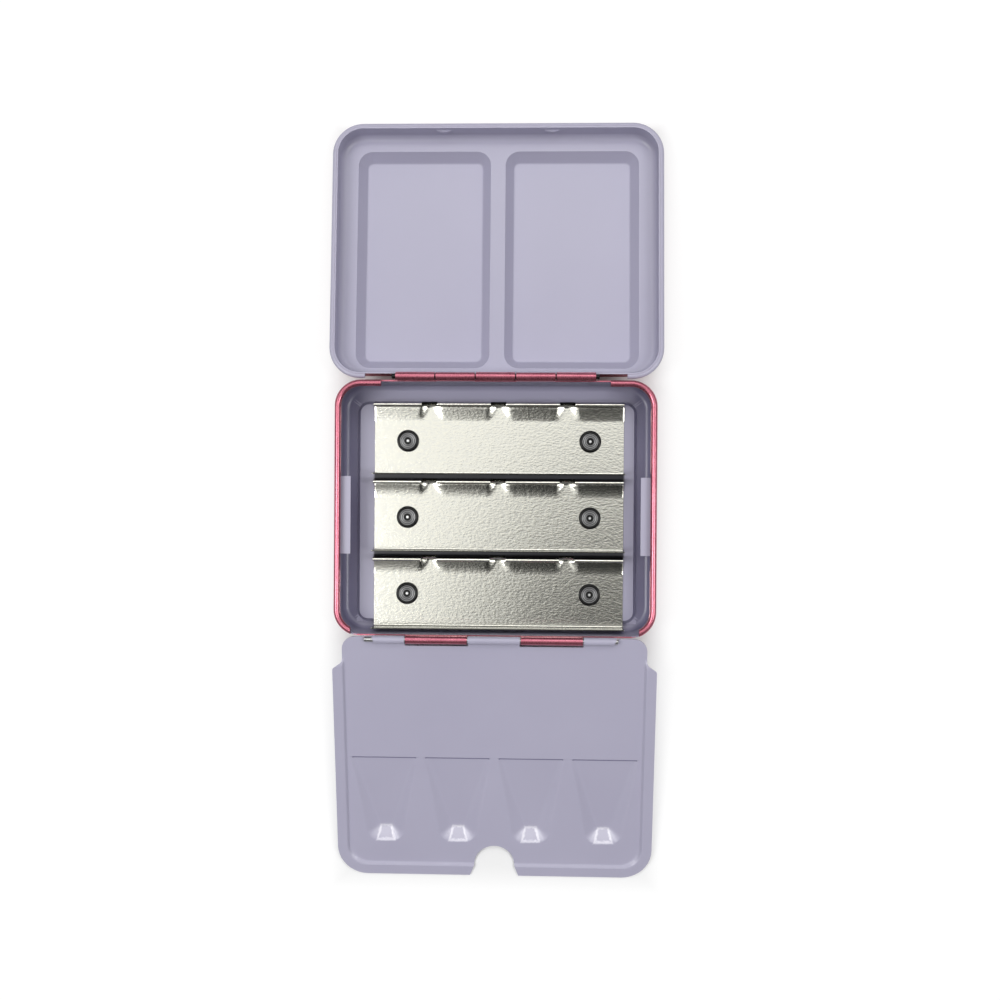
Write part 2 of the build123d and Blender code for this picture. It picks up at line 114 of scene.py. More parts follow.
# Shader maths: a socket that adds Math nodes when it stands in an expression

class Socket:
    def __init__(self, tree, out):
        self.tree = tree
        self.out = out

    def _math(self, operation, *values):
        inputs = dict(enumerate(values))
        return self.tree.node("ShaderNodeMath", {"operation": operation}, inputs)

    def __add__(self, other):
        return self._math("ADD", self, other)

    def __sub__(self, other):
        return self._math("SUBTRACT", self, other)

    def __mul__(self, other):
        return self._math("MULTIPLY", self, other)

    def __truediv__(self, other):
        return self._math("DIVIDE", self, other)

    def __pow__(self, other):
        return self._math("POWER", self, other)

    def __radd__(self, other):
        return self._math("ADD", other, self)

    def __rsub__(self, other):
        return self._math("SUBTRACT", other, self)

    def __rmul__(self, other):
        return self._math("MULTIPLY", other, self)

    def __abs__(self):
        return self._math("ABSOLUTE", self)


class Tree:
    """Nodes of a material or of the world."""

    def __init__(self, owner):
        owner.use_nodes = True
        self.tree = owner.node_tree

    def set(self, node, values):
        for key, value in values.items():
            if isinstance(value, Socket):
                self.tree.links.new(value.out, node.inputs[key])
            else:
                node.inputs[key].default_value = value

    def node(self, kind, settings, values, output=0):
        made = self.tree.nodes.new(kind)
        for key, value in settings.items():
            setattr(made, key, value)
        self.set(made, values)
        return Socket(self, made.outputs[output])

    def place(self, scale=(1, 1, 1), turn=(0, 0, 0)):
        """Object coordinates in millimetres, turned and then stretched by a scale."""
        coordinates = self.node("ShaderNodeTexCoord", {}, {}, "Object")
        turned = {"Vector": coordinates, "Rotation": turn}
        flat = self.node("ShaderNodeMapping", {}, turned)
        grown = {"Vector": flat, "Scale": tuple(1000 * s for s in scale)}
        return self.node("ShaderNodeMapping", {}, grown)

    def axis(self, vector, letter):
        return self.node("ShaderNodeSeparateXYZ", {}, {"Vector": vector}, letter)

    def noise(self, vector, size, detail=2.0, roughness=0.5):
        """Noise from 0 to 1 whose lumps are about size millimetres wide."""
        values = {"Vector": vector, "Scale": 1 / size, "Detail": detail, "Roughness": roughness}
        return self.node("ShaderNodeTexNoise", {"noise_dimensions": "3D"}, values, "Fac")

    def fade(self, value, low, high, start=0.0, end=1.0):
        """A smooth change from start to end as value goes from low to high."""
        values = {"Value": value, "From Min": low, "From Max": high, "To Min": start, "To Max": end}
        return self.node("ShaderNodeMapRange", {"interpolation_type": "SMOOTHSTEP"}, values)

    def mix(self, amount, first, second):
        values = {"Factor": amount, 6: first, 7: second}
        return self.node("ShaderNodeMix", {"data_type": "RGBA"}, values, 2)

    def wrap(self, value, low, high):
        """Folds a value into a range, over and over."""
        return self.node("ShaderNodeMath", {"operation": "WRAP"}, {0: value, 1: high, 2: low})

    def larger(self, first, second):
        return self.node("ShaderNodeMath", {"operation": "MAXIMUM"}, {0: first, 1: second})

    def bump(self, height, strength, distance):
        values = {"Height": height, "Strength": strength, "Distance": distance}
        return self.node("ShaderNodeBump", {}, values, "Normal")


class Finish(Tree):
    """A material with one Principled shader."""

    def __init__(self, name, **shader):
        self.data = bpy.data.materials.new(name)
        Tree.__init__(self, self.data)
        self.shader = self.tree.nodes["Principled BSDF"]
        self.set(self.shader, {key.replace("_", " "): value for key, value in shader.items()})


def rgb(red, green, blue):
    return (red, green, blue, 1.0)


# Finishes

def lavender_lacquer(name, marks=None):
    """Satin lavender lacquer, baked on tin: slightly uneven in gloss, with an orange peel.

    marks takes the finish, its place and its tint, and gives the tint with the shade and highlights
    painted on a piece.
    """
    finish = Finish(name, Coat_Weight=0.35, Coat_Roughness=0.20)
    at = finish.place()
    clouds = finish.noise(at, 22.0, 2.0)
    peel = finish.noise(at, 0.9, 3.0)
    grain = finish.noise(at, 0.25, 2.0)
    tint = finish.mix(clouds, rgb(0.420, 0.405, 0.525), rgb(0.455, 0.440, 0.560))
    if marks:
        tint = marks(finish, at, tint)
    finish.set(finish.shader, {
        "Base Color": tint,
        "Roughness": 0.34 + 0.10 * clouds,
        "Normal": finish.bump(peel + 0.4 * grain, 0.10, 0.00006),
    })
    return finish.data


def painted_shade_between_rails(finish, at, tint):
    """Painted shade: the tray's floor is made nearly black in the narrow gaps between the rails."""
    past_gap_line = finish.axis(at, "Y") - RAIL_GAP_LINE
    off = abs(finish.wrap(past_gap_line, -RAIL_HALF_PITCH, RAIL_HALF_PITCH))
    beside_rails = finish.fade(abs(finish.axis(at, "X") - RAIL_MIDDLE), 33.9, 33.2)
    gap_shade = finish.fade(off, 1.5, 0.9) * beside_rails
    return finish.mix(gap_shade, tint, rgb(0.020, 0.019, 0.028))


def painted_well_highlights(finish, at, tint):
    """Painted highlights round the bottom of each well with a painted glow about them, and painted
    shade in its crease.
    """
    in_front = FLAP_HINGE.y - finish.axis(at, "Y")
    above = finish.axis(at, "Z") - FLAP_HINGE.z
    along = in_front * cos(FLAP_TILT) - above * sin(FLAP_TILT)
    x = finish.axis(at, "X")
    off = abs(finish.wrap(x - WELL_HALF_PITCH, -WELL_HALF_PITCH, WELL_HALF_PITCH))
    sideways = off - (PIT_HALF + PIT_SPREAD * (along - PIT_START))
    lengthways = abs(along - 55.1) - 1.7
    outside = finish.larger(sideways, lengthways)
    uneven = finish.noise(at, 0.8, 2.0)
    outline = finish.fade(abs(outside + 0.7 * uneven - 0.35), 0.55, 0.08)
    painted_glow = finish.fade((off / 4.2) ** 2 + ((along - 54.9) / 2.6) ** 2, 1.0, 0.0)
    crease_shade = finish.fade(abs(along - (WELL_START + 0.2)), 0.32, 0.12)
    crease_shade = crease_shade * finish.fade(off, 8.65, 8.35) * finish.fade(abs(x), 38.6, 38.2)
    crease_shaded = finish.mix(crease_shade, tint, rgb(0.190, 0.180, 0.290))
    # Painted highlight: an uneven bright ring round each pit and a soft glow round the well's end.
    painted_highlight = 0.62 * outline * (0.4 + uneven) + 0.26 * painted_glow
    return finish.mix(painted_highlight, crease_shaded, rgb(0.900, 0.880, 0.960))


def shaded_lavender():
    """Lavender with painted shade for the tray's walls and channel, darkest along its sides."""
    finish = Finish("lavender_lacquer_shaded", Coat_Weight=0.35, Coat_Roughness=0.20)
    at = finish.place()
    side_shade = finish.fade(abs(finish.axis(at, "X")), 35.5, 38.5)
    clouds = finish.noise(at, 9.0, 2.0)
    tint = finish.mix(side_shade, rgb(0.335, 0.320, 0.440), rgb(0.175, 0.165, 0.262))
    finish.set(finish.shader, {
        "Base Color": finish.mix(0.25 * clouds, tint, rgb(0.400, 0.385, 0.505)),
        "Roughness": 0.32 + 0.12 * clouds,
        "Normal": finish.bump(clouds + finish.noise(at, 0.9, 3.0), 0.10, 0.00006),
    })
    return finish.data


def rose_lacquer():
    """Clear rose lacquer over bright tin, thinner and paler in places."""
    finish = Finish("rose_lacquer", Metallic=0.85, Coat_Weight=0.4, Coat_Roughness=0.12)
    at = finish.place()
    clouds = finish.noise(at, 5.0, 3.0)
    specks = finish.noise(at, 0.35, 2.0)
    finish.set(finish.shader, {
        "Base Color": finish.mix(clouds, rgb(0.43, 0.100, 0.150), rgb(0.62, 0.205, 0.265)),
        "Roughness": 0.22 + 0.14 * specks,
        "Normal": finish.bump(specks, 0.12, 0.00005),
    })
    return finish.data


def tinplate(name, tone):
    """Rolled tin plate with small crystals whose gloss differs, and fine rolling lines."""
    finish = Finish(name, Metallic=1.0)
    crystals = finish.noise(finish.place((0.5, 1.0, 1.0), (0, 0, radians(8))), 0.42, 2.0, 0.55)
    patches = finish.noise(finish.place(), 14.0, 2.0)
    lines = finish.noise(finish.place((0.04, 1.0, 1.0)), 0.16, 3.0, 0.6)
    low = 0.86 * tone
    dull = rgb(low, low, 0.93 * low)
    bright = rgb(tone, 0.98 * tone, 0.85 * tone)
    finish.set(finish.shader, {
        "Base Color": finish.mix(crystals, dull, bright),
        "Roughness": 0.10 + 0.04 * patches + 0.06 * crystals,
        "Normal": finish.bump(0.04 * lines + crystals, 0.7, 0.000048),
    })
    return finish.data


def burnished(name, dark, light, roughness):
    """Blackened steel with a fine worn grain."""
    finish = Finish(name, Metallic=0.6)
    wear = finish.noise(finish.place(), 0.6, 3.0)
    finish.set(finish.shader, {
        "Base Color": finish.mix(wear, rgb(dark, dark, dark), rgb(light, light, light * 0.97)),
        "Roughness": roughness + 0.14 * wear,
        "Normal": finish.bump(wear, 0.15, 0.00005),
    })
    return finish.data


def painted_rivet_reflection():
    """Painted reflection: a grey ring on each black rivet's disc, with turning marks round each
    rivet.
    """
    finish = Finish("rivet_ring_painted_reflection", Metallic=0.7)
    at = finish.place()
    across = finish.wrap(finish.axis(at, "X") - RAIL_MIDDLE, -RIVET_HALF_SPAN, RIVET_HALF_SPAN)
    from_line = finish.axis(at, "Y") - RAIL_LINES["middle"]
    along = finish.wrap(from_line, -RAIL_HALF_PITCH, RAIL_HALF_PITCH)
    outwards = ((abs(across) - RIVET_HALF_SPAN) ** 2 + along ** 2) ** 0.5
    marks = finish.node("ShaderNodeMath", {"operation": "SINE"}, {0: outwards * 13.0})
    past_centre = finish.fade(outwards, 0.98, 1.12)
    ring = past_centre * (0.5 + 0.5 * marks)
    finish.set(finish.shader, {
        "Base Color": finish.mix(ring, rgb(0.022, 0.022, 0.023), rgb(0.30, 0.30, 0.30)),
        "Roughness": 0.38 - 0.10 * ring,
        "Normal": finish.bump(marks, 0.5, 0.00003),
    })
    return finish.data


def bright_steel(name, tone):
    """Drawn steel with faint lengthwise lines."""
    finish = Finish(name, Metallic=1.0)
    lines = finish.noise(finish.place((0.05, 1.0, 1.0)), 0.15, 3.0)
    low = 0.8 * tone
    finish.set(finish.shader, {
        "Base Color": finish.mix(lines, rgb(low, low, low), rgb(tone, tone, tone * 0.98)),
        "Roughness": 0.22 + 0.15 * lines,
        "Normal": finish.bump(lines, 0.2, 0.00004),
    })
    return finish.data


LAVENDER = lavender_lacquer("lavender_lacquer")
# The tray's lacquer carries painted shade in the narrow gaps between the rails.
TRAY_LAVENDER = lavender_lacquer("lavender_lacquer_tray", painted_shade_between_rails)
# The flap's lacquer carries painted highlights round its wells and painted shade in their creases.
FLAP_LAVENDER = lavender_lacquer("lavender_lacquer_flap", painted_well_highlights)
SHADED_LAVENDER = shaded_lavender()
ROSE = rose_lacquer()
TINPLATE = tinplate("tinplate", 0.99)
# A near-black tin that paints shade on the rails' inner lip and wall faces.
TIN_SHADE = tinplate("tinplate_painted_shade", 0.10)
BLACK = burnished("rivet_black", 0.006, 0.016, 0.24)
RIVET_REFLECTION = painted_rivet_reflection()
WIRE = bright_steel("hinge_wire", 0.55)
STEM = bright_steel("stem_steel", 0.80)


# Ways to make a piece

def add_piece(shape, name, body, slot, replaced, *materials):
    """Turns a bmesh, in millimetres, into a finished piece on a body."""
    bmesh.ops.transform(shape, matrix=Matrix.Scale(MM, 4), verts=shape.verts)
    mesh = bpy.data.meshes.new(name)
    shape.to_mesh(mesh)
    shape.free()
    piece = bpy.data.objects.new(name, mesh)
    bpy.context.scene.collection.objects.link(piece)
    for material in materials:
        mesh.materials.append(material)
    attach(piece, body)
    if replaced:
        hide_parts(*replaced)
    return piece


def smooth(piece, sharp_above):
    """Smooth shading that keeps edges sharper than an angle, with flats kept flat."""
    for face in piece.data.polygons:
        face.use_smooth = True
    piece.data.set_sharp_from_angle(angle=radians(sharp_above))
    even = piece.modifiers.new("flat_faces_lead", "WEIGHTED_NORMAL")
    even.keep_sharp = True
    even.weight = 90


def welded(node, name, slot, *materials):
    """A welded copy of a node, which stands for the node in the picture."""
    shape = bmesh.new()
    shape.from_mesh(nodes[node].data)
    bmesh.ops.remove_doubles(shape, verts=shape.verts, dist=0.002 * MM)
    bmesh.ops.transform(shape, matrix=Matrix.Scale(1 / MM, 4), verts=shape.verts)
    for face in shape.faces:
        face.material_index = 0
    piece = add_piece(shape, name, nodes[node]["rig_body"], slot, [node], *materials)
    carried = piece.data.attributes.get("custom_normal")
    if carried:
        piece.data.attributes.remove(carried)
    smooth(piece, 30)
    return piece


def paint(piece, index, test):
    """Gives the faces whose centre, in millimetres, and normal pass a test another material."""
    for face in piece.data.polygons:
        if test(face.center / MM, face.normal):
            face.material_index = index


def thicken(piece, thickness, edge_round):
    """Sheet metal from a surface at mid thickness, with its cut edges just broken."""
    sheet = piece.modifiers.new("sheet", "SOLIDIFY")
    sheet.thickness = thickness * MM
    sheet.offset = 0
    sheet.use_even_offset = True
    edge = piece.modifiers.new("cut_edges", "BEVEL")
    edge.width = edge_round * MM
    edge.segments = 2
    edge.limit_method = "ANGLE"
    edge.angle_limit = radians(60)


def blended(value, low, high):
    """0 below low, 1 above high and a smooth S between them."""
    share = min(max((value - low) / (high - low), 0.0), 1.0)
    return share * share * (3 - 2 * share)


def outside_round(past_side, past_end, radius):
    """Distance from the edge of a plan with round corners, below zero inside it.

    past_side and past_end are counted from the middle of a corner's round.
    """
    corner = hypot(max(past_side, 0), max(past_end, 0))
    return corner + min(max(past_side, past_end), 0) - radius


# Tray: lavender inside, rose outside and on the bead and knuckles

BEAD_FOOT, KNUCKLE_REACH = 12.46, 32.9
PANEL_SIDE, PANEL_FRONT, PANEL_BACK = 37.7, -30.9, 28.7
TONGUE_LOW, TONGUE_HIGH = 11.2, 11.8


def over_panel(centre, margin):
    """Whether a point is over the raised part of the tray's floor."""
    if abs(centre.x) >= PANEL_SIDE + margin:
        return False
    return PANEL_FRONT - margin < centre.y < PANEL_BACK + margin


def tray_inside(centre, normal):
    """Whether a face of the tray has the lavender lacquer of its inside."""
    if centre.z > BEAD_FOOT or abs(centre.y) > KNUCKLE_REACH:
        return False
    inward = normal.dot(Vector((centre.x, centre.y, 0))) < -0.02
    if over_panel(centre, 0.1):
        return normal.z > -0.1 and centre.z > 0.3 and (centre.z > 1.0 or normal.z > 0.2)
    return centre.z > 0.3 and (normal.z > 0.2 or inward)


def tray_channel(centre, normal):
    """Whether a face lies inside the tray, but not on its raised floor or on a side tongue."""
    tongue = TONGUE_LOW < centre.z < TONGUE_HIGH and abs(normal.z) > 0.5
    return tray_inside(centre, normal) and not over_panel(centre, 0) and not tongue


tray = welded("tray", "tray_pressing", "rose_lacquer", ROSE, TRAY_LAVENDER, SHADED_LAVENDER)
paint(tray, 1, tray_inside)
# The tray's walls and channel take the lavender with painted shade.
paint(tray, 2, tray_channel)


# Lid: rose outside and on its knuckles, lavender inside and over the rim bead. Places along
# it are counted from the hinge, and heights from the hinge's plane.

LID_TILT = radians(3.8024)
LID_HINGE = Vector((0, 34.0, 14.1))
LID_HALF_WIDTH, LID_HALF_LENGTH, LID_MIDDLE, LID_CORNER = 42.35, 32.7, 33.6, 7.0
LID_KNUCKLE_END, LID_BEAD_LOW, LID_WALL_LOW = 30, -1.19, -2.8


def lid_inside(centre, normal):
    """Whether a face of the lid has the lavender lacquer of its inside."""
    arm = centre - LID_HINGE
    along = arm.y * cos(LID_TILT) - arm.z * sin(LID_TILT)
    height = arm.y * sin(LID_TILT) + arm.z * cos(LID_TILT)
    if along < 0.9 and abs(centre.x) < LID_KNUCKLE_END:
        return False
    if height > LID_BEAD_LOW:
        return abs(centre.x) > LID_KNUCKLE_END or along > 3.0
    past_side = abs(centre.x) - (LID_HALF_WIDTH - LID_CORNER)
    past_end = abs(along - LID_MIDDLE) - (LID_HALF_LENGTH - LID_CORNER)
    outside = outside_round(past_side, past_end, LID_CORNER)
    if outside > 0.06 and height > LID_WALL_LOW:
        return True
    middle = Vector((centre.x, along - LID_MIDDLE, 0))
    lean = Vector((normal.x, normal.y * cos(LID_TILT) - normal.z * sin(LID_TILT), 0))
    return normal.z > 0.2 or (outside > -2.5 and lean.dot(middle) < -0.02)


lid = welded("lid", "lid_pressing", "rose_lacquer", ROSE, LAVENDER)
paint(lid, 1, lid_inside)


# Pan rails: a bent strip with a plain front wall and a row of rolled spring lips. Places
# across a rail are counted from its line.

RAIL_START, RAIL_END = -32.75, 33.95
RAIL_FLOOR, RAIL_SHEET = 2.10, 0.30
WALL_PLACE, WALL_TOP, WALL_BEND = -8.85, 7.95, 0.45
LIP_FOOT, LIP_BEND, LIP_INSET = 10.55, 1.7, 0.4
LIP_EDGE = (9.70, 7.60)
LIP_ROLL_Y, LIP_ROLL_Z, LIP_ROLL_TURN = 9.35, 7.65, 285
NOTCH_PITCH, NOTCH_WIDTH, NOTCH_FLOOR = 18.2, 4.05, 3.15
RISE_START, RISE_LENGTH, RISE_HEIGHT = 5.20, 3.6, 0.46
RISE_STEPS, RISE_STEP = 9, 0.45


def bent_strip(line, crispness):
    """The rail's surface at mid thickness, on the rivet line at y = line.

    The floor is pulled up a little in front of each lip, with a crisp or a soft start.
    """
    shape = bmesh.new()
    wall = [(WALL_PLACE, WALL_TOP), (WALL_PLACE, RAIL_FLOOR)]
    rise = [(RISE_START + RISE_STEP * step, RAIL_FLOOR) for step in range(RISE_STEPS)]
    corners = wall + rise + [(LIP_FOOT, RAIL_FLOOR), LIP_EDGE]
    row = [shape.verts.new((RAIL_START, line + y, z)) for y, z in corners]
    for first, second in zip(row, row[1:]):
        shape.edges.new((first, second))
    bmesh.ops.spin(
        shape,
        geom=[row[-1]],
        cent=(RAIL_START, line + LIP_ROLL_Y, LIP_ROLL_Z),
        axis=(1, 0, 0),
        angle=radians(LIP_ROLL_TURN),
        steps=14,
    )
    bmesh.ops.remove_doubles(shape, verts=shape.verts, dist=0.001)
    drawn = bmesh.ops.extrude_edge_only(shape, edges=shape.edges[:])["geom"]
    moved = [part for part in drawn if isinstance(part, bmesh.types.BMVert)]
    bmesh.ops.translate(shape, verts=moved, vec=(RAIL_END - RAIL_START, 0, 0))
    for place, reach, steps in ((WALL_PLACE, WALL_BEND, 4), (LIP_FOOT, LIP_BEND, 8)):
        foot = line + place
        bend = [
            edge for edge in shape.edges
            if all(abs(v.co.z - RAIL_FLOOR) < 0.01 and abs(v.co.y - foot) < 0.01 for v in edge.verts)
        ]
        bmesh.ops.bevel(
            shape, geom=bend, offset=reach, segments=steps, profile=0.5, affect="EDGES", material=-1
        )
    cuts = [(RAIL_START + LIP_INSET, (1, 0, 0)), (RAIL_END - LIP_INSET, (1, 0, 0))]
    for place in (-1, 0, 1):
        for side in (-1, 1):
            notch_side = RAIL_MIDDLE + place * NOTCH_PITCH + side * NOTCH_WIDTH / 2
            cuts.append((notch_side, (1, 0, 0)))
        for step in range(-11, 11):
            cuts.append((RAIL_MIDDLE + place * NOTCH_PITCH + 0.5 * step + 0.25, (1, 0, 0)))
    cuts.append((NOTCH_FLOOR, (0, 0, 1)))
    for distance, axis in cuts:
        bmesh.ops.bisect_plane(
            shape,
            geom=shape.verts[:] + shape.edges[:] + shape.faces[:],
            plane_co=Vector(axis) * distance,
            plane_no=axis,
        )

    def cut_away(face):
        """Whether a face lies beyond the lips' ends or in one of the three notches."""
        middle = face.calc_center_median()
        if middle.y < line + 8 or middle.z < NOTCH_FLOOR:
            return False
        if not RAIL_START + LIP_INSET < middle.x < RAIL_END - LIP_INSET:
            return True
        nearest = round((middle.x - RAIL_MIDDLE) / NOTCH_PITCH)
        off = abs(middle.x - RAIL_MIDDLE - nearest * NOTCH_PITCH)
        return abs(nearest) <= 1 and off < NOTCH_WIDTH / 2

    gone = [face for face in shape.faces if cut_away(face)]
    bmesh.ops.delete(shape, geom=gone, context="FACES")
    for vert in shape.verts:
        reach = min(max(vert.co.y - line - RISE_START, 0.0), RISE_LENGTH)
        nearest = min(max(round((vert.co.x - RAIL_MIDDLE) / NOTCH_PITCH), -1), 1)
        off = abs(vert.co.x - RAIL_MIDDLE - nearest * NOTCH_PITCH)
        flare = 0.6 + 0.35 * (RISE_LENGTH - reach)
        pulled = blended(off, flare, flare + 2.2) * blended(-vert.co.z, -5.0, -2.2)
        vert.co.z += RISE_HEIGHT * (reach / RISE_LENGTH) ** crispness * pulled
    bmesh.ops.recalc_face_normals(shape, faces=shape.faces)
    return shape


for row, line in RAIL_LINES.items():
    strip = bent_strip(line, 1.25 if row == "back" else 1.9)
    rail = add_piece(
        strip, "pan_rail_" + row, "tray", "tinplate", ["rail_" + row], TINPLATE, TIN_SHADE
    )
    # The lips' inner faces and the front walls take the near-black tin: painted shade in the gaps
    # between rails.
    paint(
        rail, 1,
        lambda centre, normal: 2.6 < centre.z < 7.4
        and (centre.y > line + 8.9 or centre.y < line - 8.5),
    )
    thicken(rail, RAIL_SHEET, 0.035)
    smooth(rail, 40)


# Mixing flap: a sheet pressed with a raised edge flange and four wells. Places along it are
# counted from the hinge, and heights from the hinge's plane.

FLAP_PLACE = Matrix.Translation(FLAP_HINGE) @ Matrix.Rotation(FLAP_TILT, 4, "X")
FLAP_SHEET = 0.35
FLAP_FLOOR = -0.70
FLAP_LENGTH = 66.5
FLAP_HALF, DISH_HALF, NECK_HALF = 42.1, 39.2, 39.55
DISH_FRONT, DISH_CORNER = 63.6, 5.4
STEP_HALF = 0.36
FLANGE_START, FLANGE_FULL = 4.6, 7.4
WELL_LIP, WELL_DEPTH, WELL_CREASE = 0.38, 1.60, 0.24
WELL_END_RIM, WELL_END_FLOOR = 5.0, 1.6
PIT_DEPTH, PIT_EDGE_SIDE, PIT_EDGE_END = 0.16, 0.18, 0.2
BLANK_HALF_WIDTH, BLANK_HALF_LENGTH, BLANK_MIDDLE = 43.0, 34.5, 33.0
CUTTER_LOW, CUTTER_HIGH = -4.0, 2.0
FINGER_PLACE, FINGER_HALF, FINGER_MOUTH = 63.6, 5.4, 6.65
SLOT_NEAR, SLOT_FAR, SLOT_DEPTH = 6.7, 23.1, 1.85


def outside_dish(x, along):
    """Distance from the dish's edge, below zero inside it."""
    past_side = abs(x) - (DISH_HALF - DISH_CORNER)
    past_front = along - (DISH_FRONT - DISH_CORNER)
    return outside_round(past_side, past_front, DISH_CORNER)


def soft_least(first, second, width):
    """The smaller of two heights, with a round of a width where they meet."""
    share = min(max(0.5 + 0.5 * (second - first) / width, 0.0), 1.0)
    return second + (first - second) * share - width * share * (1 - share)


def well_depth(x, along):
    """How deep a well is pressed below the flap's floor."""
    if along < WELL_START:
        return 0.0
    share = min((along - WELL_START) / (WELL_END - WELL_START), 1.0)
    past = max(along - WELL_END, 0.0)
    lip = WELL_LIP * blended(along, WELL_START, WELL_START + WELL_CREASE)
    ramp = lip + (WELL_DEPTH - WELL_LIP) * share
    rim_half = WELL_HALF + (WELL_END_RIM - WELL_HALF) * share
    floor_half = (WELL_HALF - 0.3) + (WELL_END_FLOOR - WELL_HALF + 0.3) * share
    deepest = 0.0
    for centre in WELL_PLACES:
        off = abs(x - centre)
        if off > WELL_HALF + 0.6 or past > 4.5:
            continue
        reach = hypot(max(off - floor_half, 0.0), 0.95 * past)
        side = ramp * (1 - reach / (rim_half - floor_half))
        depth = max(soft_least(ramp, side + 0.04, 0.12), 0.0)
        pit_half = PIT_HALF + PIT_SPREAD * (along - PIT_START)
        pit = blended(-off, -pit_half - PIT_EDGE_SIDE, -pit_half + PIT_EDGE_SIDE)
        pit *= blended(along, PIT_START - PIT_EDGE_END, PIT_START + PIT_EDGE_END)
        pit *= blended(-along, -PIT_END - PIT_EDGE_END, -PIT_END + PIT_EDGE_END)
        deepest = max(deepest, depth + PIT_DEPTH * pit)
    return deepest


def lift(shape, height):
    """Closes a surface into a block by drawing a copy of it straight up."""
    top = bmesh.ops.extrude_face_region(shape, geom=shape.faces[:])["geom"]
    lifted = [part for part in top if isinstance(part, bmesh.types.BMVert)]
    bmesh.ops.translate(shape, verts=lifted, vec=(0, 0, height))
    bmesh.ops.recalc_face_normals(shape, faces=shape.faces)


def flap_sheet():
    """The pressed sheet, larger than the flap's outline."""
    shape = bmesh.new()
    bmesh.ops.create_grid(shape, x_segments=171, y_segments=137, size=1.0)
    spread = Matrix.Diagonal((BLANK_HALF_WIDTH, BLANK_HALF_LENGTH, 1.0, 1.0))
    bmesh.ops.transform(shape, matrix=spread, verts=shape.verts)
    bmesh.ops.translate(shape, verts=shape.verts, vec=(0, -BLANK_MIDDLE, 0))
    creases = (WELL_START, WELL_START + WELL_CREASE / 2, WELL_START + WELL_CREASE)
    front_step = (DISH_FRONT - STEP_HALF, DISH_FRONT + STEP_HALF)
    lines = [((0, -along, 0), (0, 1, 0)) for along in creases + front_step]
    for side in (-1, 1):
        for reach in (DISH_HALF - STEP_HALF, DISH_HALF, DISH_HALF + STEP_HALF):
            lines.append(((side * reach, 0, 0), (1, 0, 0)))
    for point, normal in lines:
        bmesh.ops.bisect_plane(
            shape,
            geom=shape.verts[:] + shape.edges[:] + shape.faces[:],
            plane_co=point,
            plane_no=normal,
        )
    near_pits = []
    for edge in shape.edges:
        middle = (edge.verts[0].co + edge.verts[1].co) / 2
        if 49.5 < -middle.y < 58.0 and min(abs(middle.x - centre) for centre in WELL_PLACES) < 5.0:
            near_pits.append(edge)
    bmesh.ops.subdivide_edges(shape, edges=near_pits, cuts=1, use_grid_fill=True)
    for vert in shape.verts:
        along = -vert.co.y
        rise = blended(outside_dish(vert.co.x, along), -STEP_HALF, STEP_HALF)
        rise *= blended(along, FLANGE_START, FLANGE_FULL)
        pressed = well_depth(vert.co.x, along)
        vert.co.z = FLAP_FLOOR * (1 - rise) - pressed - FLAP_SHEET
    lift(shape, FLAP_SHEET)
    return shape


def rounded_prism(corners, radii=(0, 0, 0, 0)):
    """A cutter that stands upright on a plan, some of whose corners are rounded."""
    shape = bmesh.new()
    verts = [shape.verts.new((x, -along, CUTTER_LOW)) for x, along in corners]
    shape.faces.new(verts)
    for vert, radius in zip(verts, radii):
        if radius:
            bmesh.ops.bevel(
                shape, geom=[vert], offset=radius, segments=10, profile=0.5,
                affect="VERTICES", material=-1,
            )
    lift(shape, CUTTER_HIGH - CUTTER_LOW)
    return shape


def scratch_object(shape, name):
    """An object that lasts only until trimmed has used it."""
    mesh = bpy.data.meshes.new(name)
    shape.to_mesh(mesh)
    shape.free()
    made = bpy.data.objects.new(name, mesh)
    bpy.context.scene.collection.objects.link(made)
    return made


def trimmed(blank, steps):
    """The shape of a blank after its modifiers and some Boolean steps.

    Each step is a tool and its operation. The blank and the tools are removed.
    """
    for tool, operation in steps:
        cut = blank.modifiers.new(tool.name, "BOOLEAN")
        cut.operation = operation
        cut.object = tool
        cut.solver = "EXACT"
    bpy.context.view_layer.update()
    seen = blank.evaluated_get(bpy.context.evaluated_depsgraph_get())
    result = bmesh.new()
    result.from_mesh(seen.to_mesh())
    seen.to_mesh_clear()
    for spare in [blank] + [tool for tool, operation in steps]:
        mesh = spare.data
        bpy.data.objects.remove(spare)
        bpy.data.meshes.remove(mesh)
    return result


outline = rounded_prism(
    [
        (-NECK_HALF, -0.5), (-NECK_HALF, 6.4), (-FLAP_HALF, 8.2), (-FLAP_HALF, FLAP_LENGTH),
        (FLAP_HALF, FLAP_LENGTH), (FLAP_HALF, 8.2), (NECK_HALF, 6.4), (NECK_HALF, -0.5),
    ],
    (3.5, 0.8, 0.35, 8.0, 8.0, 0.35, 0.8, 3.5),
)
notch = rounded_prism([
    (-FINGER_HALF, FINGER_PLACE), (-FINGER_MOUTH, 66.85),
    (FINGER_MOUTH, 66.85), (FINGER_HALF, FINGER_PLACE),
])
bite = bmesh.new()
bmesh.ops.create_cone(
    bite, cap_ends=True, segments=64, radius1=FINGER_HALF, radius2=FINGER_HALF, depth=6.0,
    matrix=Matrix.Translation((0, -FINGER_PLACE, -1.0)),
)
steps = [
    (scratch_object(notch, "notch"), "DIFFERENCE"),
    (scratch_object(bite, "bite"), "DIFFERENCE"),
]
for side in (-1, 1):
    near, far = sorted((side * SLOT_NEAR, side * SLOT_FAR))
    slot = rounded_prism([(near, -2.0), (near, SLOT_DEPTH), (far, SLOT_DEPTH), (far, -2.0)])
    steps.append((scratch_object(slot, "slot"), "DIFFERENCE"))
punch = scratch_object(trimmed(scratch_object(outline, "outline"), steps), "punch")
